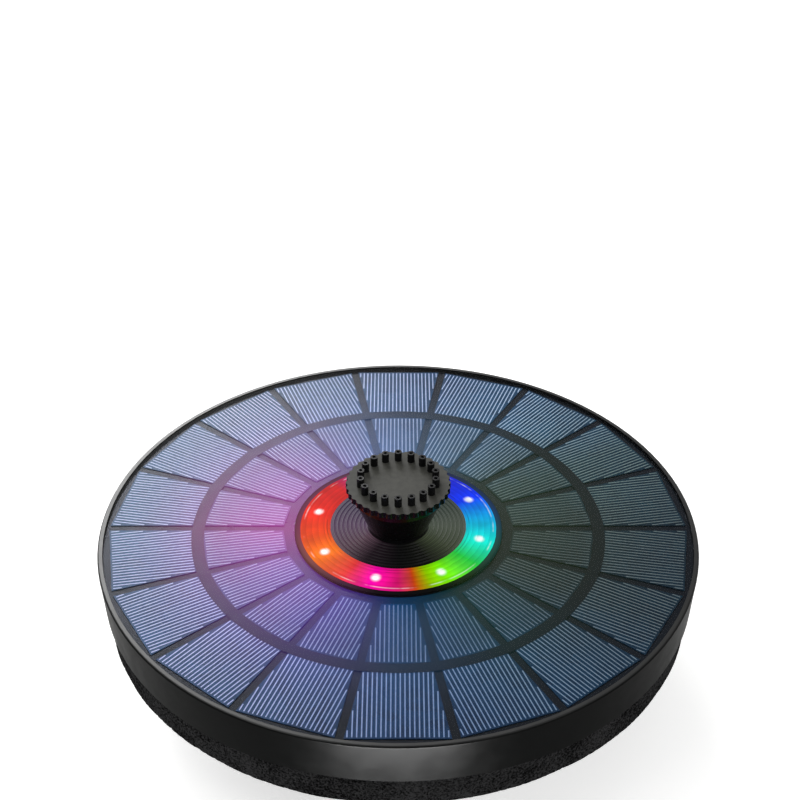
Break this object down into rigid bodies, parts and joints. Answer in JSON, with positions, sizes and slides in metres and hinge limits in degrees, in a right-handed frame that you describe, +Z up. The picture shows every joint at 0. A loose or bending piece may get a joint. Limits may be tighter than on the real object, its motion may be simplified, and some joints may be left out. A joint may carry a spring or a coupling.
{
  "type": "floating solar fountain",
  "caption": "Round floating solar fountain with a panel of radial cells, a light ring, a spray nozzle, a foam float ring and a submersible pump in a strainer basket.",
  "frame": {"origin": "centre of the bounding box at its base: the underside of the strainer basket's feet, on the nozzle's axis", "axes": "+Z up along the nozzle, -Y towards the front, where one cell of each ring is centred"},
  "size_m": [0.18, 0.18, 0.0716],
  "materials": {
    "shell_plastic": "satin",
    "base_plastic": "matte",
    "red_silicone": "matte",
    "screw_steel": "satin",
    "foam": "matte",
    "panel_board": "gloss",
    "solar_cell": "gloss",
    "clear_resin": "gloss",
    "hub_plastic": "gloss",
    "black_rubber": "matte",
    "lens_plastic": "gloss",
    "white_board": "satin",
    "light_chip": "gloss",
    "nozzle_black": "satin",
    "cap_grey": "satin",
    "riser_plastic": "satin",
    "pump_plastic": "satin",
    "basket_plastic": "satin",
    "shaft_ceramic": "polished",
    "impeller_plastic": "satin",
    "magnet": "satin",
    "laminated_steel": "satin",
    "copper_winding": "gloss",
    "green_board": "satin",
    "potting_resin": "gloss",
    "sponge": "matte",
    "battery_sleeve": "gloss",
    "cradle_plastic": "matte",
    "nickel": "satin",
    "chip_black": "matte",
    "ferrite": "matte",
    "capacitor_sleeve": "gloss",
    "connector_plastic": "satin",
    "button_red": "satin",
    "red_lead": "satin",
    "black_lead": "satin",
    "white_lead": "satin"
  },
  "bodies": {
    "float": {"housing_shell": "shell_plastic", "base_shell": "base_plastic", "case_gasket": "red_silicone", "outlet_seal": "red_silicone", "case_screws": "screw_steel", "cover_screws": "screw_steel", "pump_screws": "screw_steel", "board_screws": "screw_steel", "foam_ring": "foam", "panel_board": "panel_board", "cells_inner": "solar_cell", "cells_outer": "solar_cell", "panel_cover": "clear_resin", "hub_disc": "hub_plastic", "hub_seal": "black_rubber", "pump_grommet": "black_rubber", "front_bush": "black_rubber", "rear_bush": "black_rubber", "led_lens": "lens_plastic", "led_board": "white_board", "leds": "light_chip", "riser_tube": "riser_plastic", "pump_body": "pump_plastic", "volute_cover": "pump_plastic", "pump_shaft": "shaft_ceramic", "stator_core": "laminated_steel", "stator_coils": "copper_winding", "driver_board": "green_board", "control_board": "green_board", "pump_potting": "potting_resin", "intake_sponge": "sponge", "battery_cell": "battery_sleeve", "battery_cradle": "cradle_plastic", "battery_tabs": "nickel", "board_chips": "chip_black", "tact_switch": "chip_black", "board_inductor": "ferrite", "board_capacitors": "capacitor_sleeve", "board_connectors": "connector_plastic", "panel_lead": "red_lead", "battery_lead_pos": "red_lead", "pump_lead": "black_lead", "battery_lead_neg": "black_lead", "led_lead": "white_lead"},
    "nozzle": {"nozzle_body": "nozzle_black", "nozzle_seal": "red_silicone"},
    "cap": {"nozzle_cap": "cap_grey", "cap_seal": "red_silicone"},
    "rotor": {"impeller": "impeller_plastic", "rotor_magnet": "magnet"},
    "strainer": {"strainer_basket": "basket_plastic", "strainer_feet": "black_rubber"},
    "button": {"power_button": "button_red", "button_seal": "black_rubber"}
  },
  "joints": [
    {"name": "nozzle_lift", "type": "slide", "parent": "float", "child": "nozzle", "axis": [0, 0, 1], "range_m": [0, 0.016]},
    {"name": "cap_turn", "type": "hinge", "parent": "nozzle", "child": "cap", "pos_m": [0, 0, 0.064], "axis": [0, 0, 1], "range_deg": [-180, 180]},
    {"name": "rotor_spin", "type": "hinge", "parent": "float", "child": "rotor", "pos_m": [-0.0056, 0, 0.0141], "axis": [0, 1, 0], "continuous": true},
    {"name": "strainer_twist", "type": "hinge", "parent": "float", "child": "strainer", "pos_m": [0, 0, 0.022], "axis": [0, 0, 1], "range_deg": [0, 30]},
    {"name": "button_press", "type": "slide", "parent": "float", "child": "button", "axis": [0, 0, 1], "range_m": [0, 0.0012], "stiffness_N_per_m": 1200, "springref_m": -0.0004}
  ]
}
